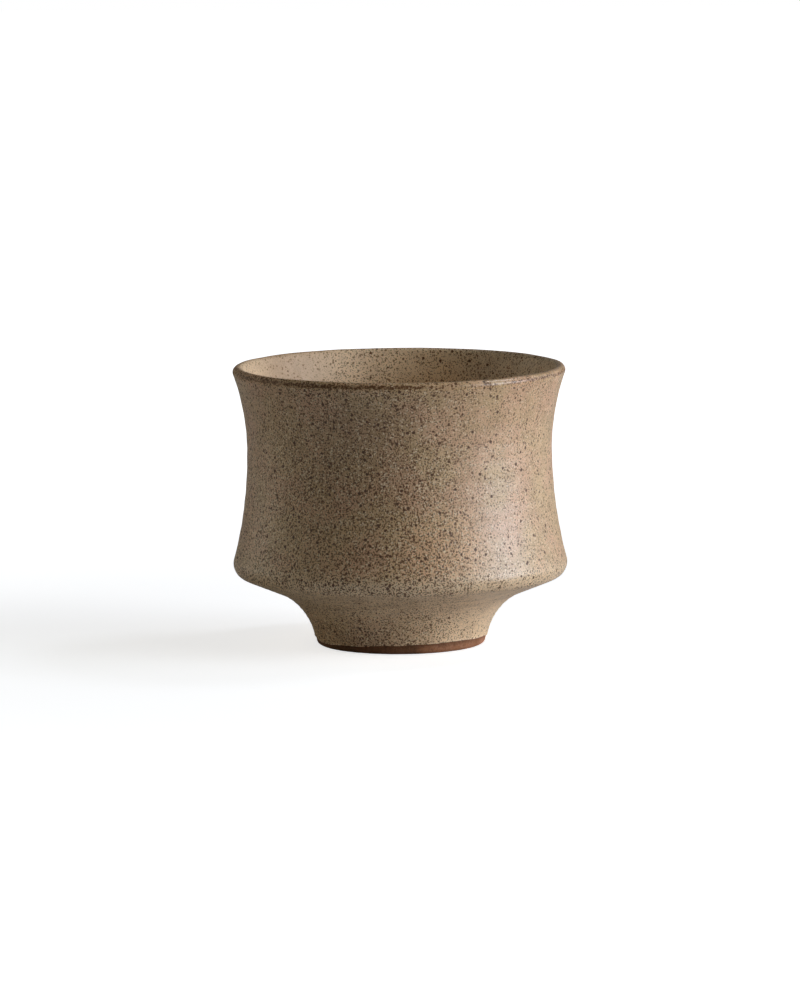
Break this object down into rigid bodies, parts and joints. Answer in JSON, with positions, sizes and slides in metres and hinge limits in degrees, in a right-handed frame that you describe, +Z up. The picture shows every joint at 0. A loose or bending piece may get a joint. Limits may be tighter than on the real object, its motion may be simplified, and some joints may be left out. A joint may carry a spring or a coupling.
{
  "type": "footed cup",
  "caption": "Handle-less stoneware cup with a flared lip, a drawn-in waist, a rounded belly and a small turned foot, for holding a drink.",
  "frame": {"origin": "centre of the foot's resting plane, at the bottom of the cup", "axes": "+Z up along the axis that the cup was turned about, from the foot to the lip; X and Y are alike"},
  "size_m": [0.0904, 0.0904, 0.0757],
  "materials": {
    "bare_clay": "matte red-brown fired clay",
    "fired_slip": "matte fired slip, a little finer than the clay",
    "speckled_glaze": "matte to satin sand-beige with iron specks",
    "liner_glaze": "satin sand-beige with softer, sparser specks",
    "iron_lip": "satin iron-brown, thin over the edge"
  },
  "bodies": {
    "root": {"bowl": "bare_clay", "foot": "bare_clay", "luting_slip": "fired_slip", "outer_glaze": "speckled_glaze", "inner_glaze": "liner_glaze", "lip_glaze": "iron_lip"}
  },
  "joints": []
}
